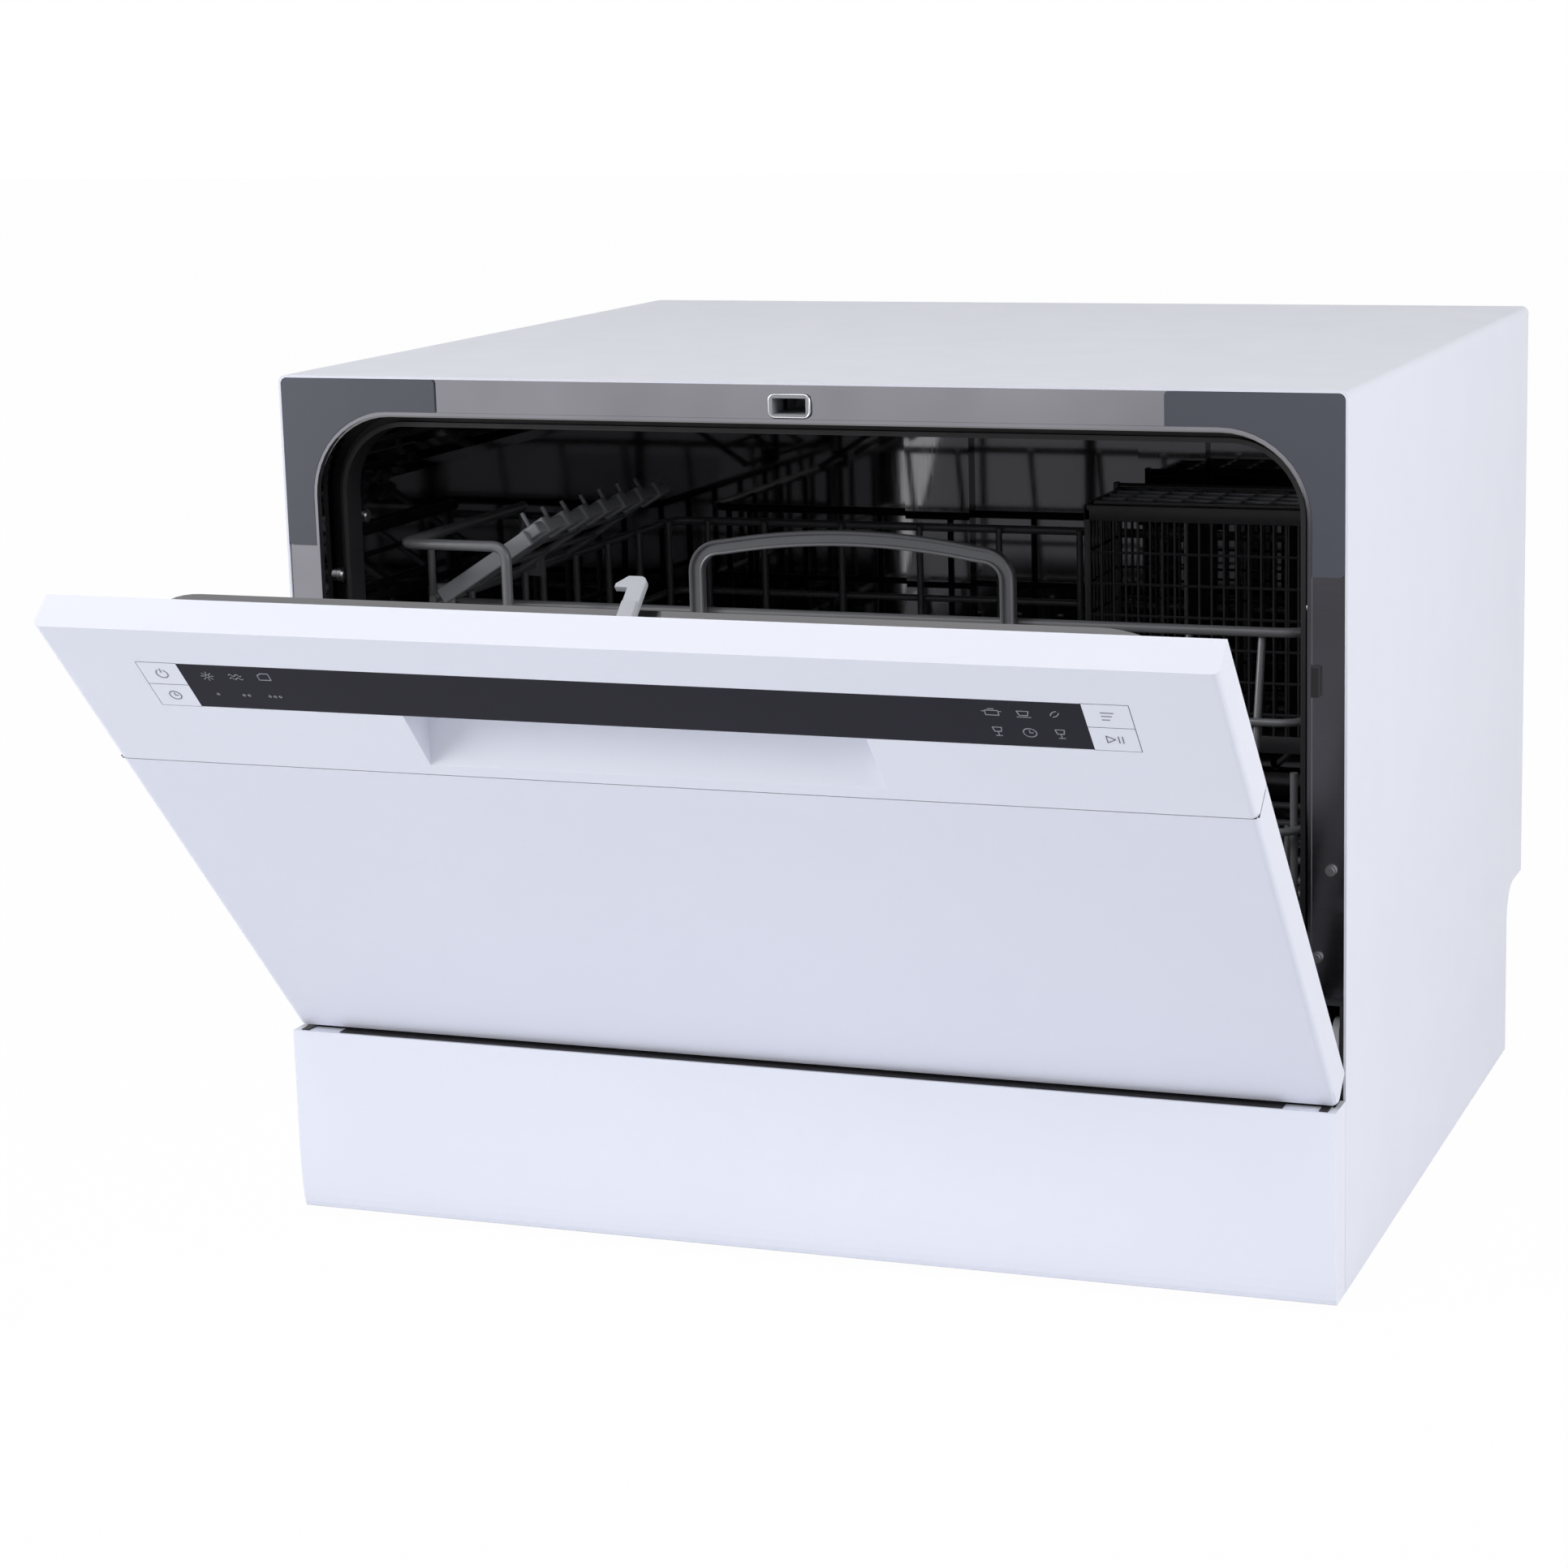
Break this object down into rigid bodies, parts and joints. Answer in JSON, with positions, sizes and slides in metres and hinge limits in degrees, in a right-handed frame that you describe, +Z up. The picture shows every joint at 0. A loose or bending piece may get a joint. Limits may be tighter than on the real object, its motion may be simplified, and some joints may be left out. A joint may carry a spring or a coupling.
{
  "type": "countertop dishwasher",
  "caption": "Compact white countertop dishwasher, its drop-down door half open on a stainless tub with a wire rack, cup shelf and cutlery basket.",
  "frame": {"origin": "middle of the underside, at the height of the feet, centred in width and over the depth with the door half open", "axes": "+Z up, +Y from the door to the rear panel, +X to the right for a person who stands in front of the door"},
  "size_m": [0.55, 0.7152, 0.4379],
  "materials": {
    "white_casing": "satin",
    "steel": "satin",
    "base_plastic": "matte",
    "white_panel": "satin",
    "white_door": "satin",
    "black_rubber": "matte",
    "cover_grey": "matte",
    "grey_plastic": "satin",
    "dark_plastic": "matte",
    "strip": "satin",
    "rack_coat": "satin",
    "blanket": "matte",
    "board": "satin",
    "dispenser_grey": "satin",
    "button_white": "satin"
  },
  "bodies": {
    "cabinet": {"outer_casing": "white_casing", "rear_panel": "steel", "base_tray": "base_plastic", "base_front_panel": "white_panel", "feet": "black_rubber", "tub": "steel", "front_frame": "steel", "corner_covers": "cover_grey", "door_gasket": "black_rubber", "lower_door_seal": "black_rubber", "latch_catch": "grey_plastic", "door_bumpers": "black_rubber", "tub_blanket": "blanket", "sump": "base_plastic", "filter_plate": "steel", "spray_hub": "dark_plastic", "water_softener": "base_plastic", "wash_pump": "dark_plastic", "drain_pump": "dark_plastic", "inline_heater": "steel", "inlet_valve": "white_panel", "inlet_hose": "base_plastic", "drain_connector": "dark_plastic", "drain_hose": "base_plastic", "power_gland": "black_rubber", "air_break": "white_panel", "hinge_brackets": "grey_plastic", "hinge_pins": "steel", "door_springs": "steel", "rack_rails": "grey_plastic", "case_screws": "steel"},
    "latch_bolt": {"latch_bolt": "black_rubber"},
    "filter_cup": {"filter_cup": "dark_plastic"},
    "spray_arm": {"spray_arm": "grey_plastic"},
    "salt_cap": {"salt_cap": "dark_plastic"},
    "door": {"door_outer_panel": "white_door", "control_panel": "white_panel", "display_strip": "strip", "door_liner": "steel", "door_insulation": "blanket", "control_board": "board", "dispenser_body": "dispenser_grey", "latch_hook": "dispenser_grey", "hinge_arms": "steel", "door_screws": "steel"},
    "detergent_lid": {"detergent_lid": "dispenser_grey"},
    "rinse_cap": {"rinse_cap": "dispenser_grey"},
    "power_button": {"power_button": "button_white"},
    "delay_button": {"delay_button": "button_white"},
    "program_button": {"program_button": "button_white"},
    "start_button": {"start_button": "button_white"},
    "rack": {"rack_frame": "rack_coat", "rack_handle": "rack_coat", "rack_fittings": "grey_plastic"},
    "front_wheels": {"rack_wheels_front": "grey_plastic"},
    "rear_wheels": {"rack_wheels_rear": "grey_plastic"},
    "cup_shelf": {"cup_shelf": "rack_coat", "cup_shelf_strip": "grey_plastic"},
    "cutlery_basket": {"cutlery_basket": "dark_plastic"},
    "cutlery_lid": {"cutlery_lid": "dark_plastic"}
  },
  "joints": [
    {"name": "door_hinge", "type": "hinge", "parent": "cabinet", "child": "door", "pos_m": [0, -0.13637, 0.1131], "axis": [1, 0, 0], "range_deg": [-41.87, 48.13], "deforming": ["door_springs"]},
    {"name": "latch_bolt_slide", "type": "slide", "parent": "cabinet", "child": "latch_bolt", "axis": [1, 0, 0], "range_m": [0, 0.005]},
    {"name": "spray_arm_spin", "type": "hinge", "parent": "cabinet", "child": "spray_arm", "pos_m": [0, 0.10963, 0.1295], "axis": [0, 0, 1], "continuous": true},
    {"name": "filter_cup_twist", "type": "hinge", "parent": "cabinet", "child": "filter_cup", "pos_m": [0.031, 0.10963, 0.1045], "axis": [0, 0, 1], "range_deg": [0, 90]},
    {"name": "salt_cap_turn", "type": "hinge", "parent": "cabinet", "child": "salt_cap", "pos_m": [-0.15, 0.00763, 0.1195], "axis": [0, 0, 1], "range_deg": [0, 360]},
    {"name": "detergent_lid_hinge", "type": "hinge", "parent": "door", "child": "detergent_lid", "pos_m": [0, -0.16935, 0.20024], "axis": [-1, 0, 0], "range_deg": [0, 95]},
    {"name": "rinse_cap_turn", "type": "hinge", "parent": "door", "child": "rinse_cap", "pos_m": [0.036, -0.19981, 0.22733], "axis": [0, 0.7447, 0.6674], "range_deg": [0, 90]},
    {"name": "power_press", "type": "slide", "parent": "door", "child": "power_button", "axis": [0, 0.7447, 0.6674], "range_m": [0, 0.001], "stiffness_N_per_m": 500},
    {"name": "delay_press", "type": "slide", "parent": "door", "child": "delay_button", "axis": [0, 0.7447, 0.6674], "range_m": [0, 0.001], "stiffness_N_per_m": 500},
    {"name": "program_press", "type": "slide", "parent": "door", "child": "program_button", "axis": [0, 0.7447, 0.6674], "range_m": [0, 0.001], "stiffness_N_per_m": 500},
    {"name": "start_press", "type": "slide", "parent": "door", "child": "start_button", "axis": [0, 0.7447, 0.6674], "range_m": [0, 0.001], "stiffness_N_per_m": 500},
    {"name": "rack_slide", "type": "slide", "parent": "cabinet", "child": "rack", "axis": [0, -1, 0], "range_m": [0, 0.05]},
    {"name": "front_wheels_roll", "type": "hinge", "parent": "rack", "child": "front_wheels", "pos_m": [0, -0.00237, 0.1518], "axis": [1, 0, 0], "range_deg": [-1, 261.4]},
    {"name": "rear_wheels_roll", "type": "hinge", "parent": "rack", "child": "rear_wheels", "pos_m": [0, 0.22263, 0.1518], "axis": [1, 0, 0], "range_deg": [-1, 261.4]},
    {"name": "cup_shelf_fold", "type": "hinge", "parent": "rack", "child": "cup_shelf", "pos_m": [-0.2278, 0.02763, 0.3143], "axis": [0, -1, 0], "range_deg": [-24.6, 57.4]},
    {"name": "cutlery_basket_lift", "type": "slide", "parent": "rack", "child": "cutlery_basket", "axis": [0, 0, 1], "range_m": [0, 0.06]},
    {"name": "cutlery_lid_hinge", "type": "hinge", "parent": "cutlery_basket", "child": "cutlery_lid", "pos_m": [0.072, 0.27673, 0.3381], "axis": [1, 0, 0], "range_deg": [-90, 0]}
  ],
  "couplings": [
    {"joint": "front_wheels_roll", "follows": "rack_slide", "rad_per_m": 90.909},
    {"joint": "rear_wheels_roll", "follows": "rack_slide", "rad_per_m": 90.909}
  ]
}
